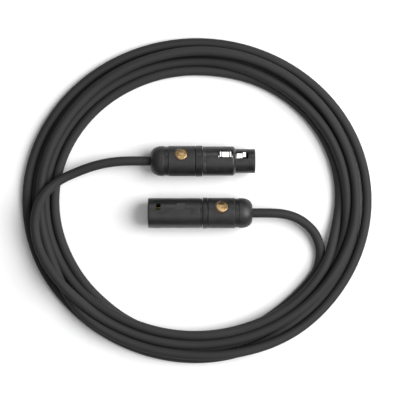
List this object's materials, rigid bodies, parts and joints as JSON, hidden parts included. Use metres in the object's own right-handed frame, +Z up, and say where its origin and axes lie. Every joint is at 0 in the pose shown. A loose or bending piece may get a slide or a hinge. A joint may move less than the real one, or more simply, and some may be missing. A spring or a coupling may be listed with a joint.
{
  "type": "microphone cable coil",
  "caption": "Black three-pole microphone cable wound into an oval ring, with its socket and pin connectors lying side by side in the middle.",
  "frame": {"origin": "midway between the two connectors, on the surface that the coil lies on", "axes": "+X the way the connector with sockets points, along both connectors' axes; +Y from the connector with pins to the one with sockets; +Z up"},
  "size_m": [0.233, 0.216, 0.0204],
  "materials": {
    "cable_jacket": "matte",
    "shell_black": "satin black plating",
    "insert_plastic": "matte",
    "contact_gold": "gold plated",
    "latch_nickel": "bright nickel",
    "spring_steel": "bright",
    "ring_nickel": "black nickel",
    "ring_black": "satin black plating",
    "wire_red": "smooth",
    "wire_white": "smooth",
    "wire_bare": "bare copper",
    "chuck_plastic": "smooth",
    "boot_plastic": "satin",
    "grip_rubber": "satin soft rubber",
    "badge_brass": "satin brass"
  },
  "bodies": {
    "root": {"cable_coil": "cable_jacket", "lead_female": "cable_jacket", "lead_male": "cable_jacket", "female_shell": "shell_black", "female_insert": "insert_plastic", "female_contact_1": "contact_gold", "female_contact_2": "contact_gold", "female_contact_3": "contact_gold", "female_latch_pin": "spring_steel", "female_latch_spring": "spring_steel", "female_ground_spring": "spring_steel", "female_collar_ring": "ring_nickel", "female_wire_hot": "wire_red", "female_wire_cold": "wire_white", "female_wire_screen": "wire_bare", "male_shell": "shell_black", "male_insert": "insert_plastic", "male_pin_1": "contact_gold", "male_pin_2": "contact_gold", "male_pin_3": "contact_gold", "male_ground_spring": "spring_steel", "male_collar_ring": "ring_black", "male_wire_hot": "wire_red", "male_wire_cold": "wire_white", "male_wire_screen": "wire_bare"},
    "female_latch": {"female_latch": "latch_nickel"},
    "female_chuck": {"female_chuck": "chuck_plastic"},
    "female_boot": {"female_boot_core": "boot_plastic", "female_boot_sleeve": "grip_rubber", "female_end_cap": "grip_rubber", "female_badge": "badge_brass"},
    "male_chuck": {"male_chuck": "chuck_plastic"},
    "male_boot": {"male_boot_core": "boot_plastic", "male_boot_sleeve": "grip_rubber", "male_end_cap": "grip_rubber", "male_badge": "badge_brass"}
  },
  "joints": [
    {"name": "female_latch_press", "type": "hinge", "parent": "root", "child": "female_latch", "pos_m": [0.0094, 0.01947, 0.01465], "axis": [0, 0.891, -0.454], "range_deg": [0, 3.5], "stiffness_Nm_per_rad": 0.4, "springref_deg": -2.86, "deforming": ["female_latch_spring"]},
    {"name": "female_chuck_slide", "type": "slide", "parent": "root", "child": "female_chuck", "axis": [-1, 0, 0], "range_m": [0, 0.006]},
    {"name": "female_boot_turn", "type": "hinge", "parent": "female_chuck", "child": "female_boot", "pos_m": [-0.0146, 0.0172, 0.0102], "axis": [-1, 0, 0], "range_deg": [0, 720]},
    {"name": "male_chuck_slide", "type": "slide", "parent": "root", "child": "male_chuck", "axis": [1, 0, 0], "range_m": [0, 0.006]},
    {"name": "male_boot_turn", "type": "hinge", "parent": "male_chuck", "child": "male_boot", "pos_m": [0.0146, -0.0172, 0.0102], "axis": [1, 0, 0], "range_deg": [0, 720]}
  ],
  "couplings": [
    {"joint": "female_chuck_slide", "follows": "female_boot_turn", "m_per_rad": 0.00047746},
    {"joint": "male_chuck_slide", "follows": "male_boot_turn", "m_per_rad": 0.00047746}
  ]
}
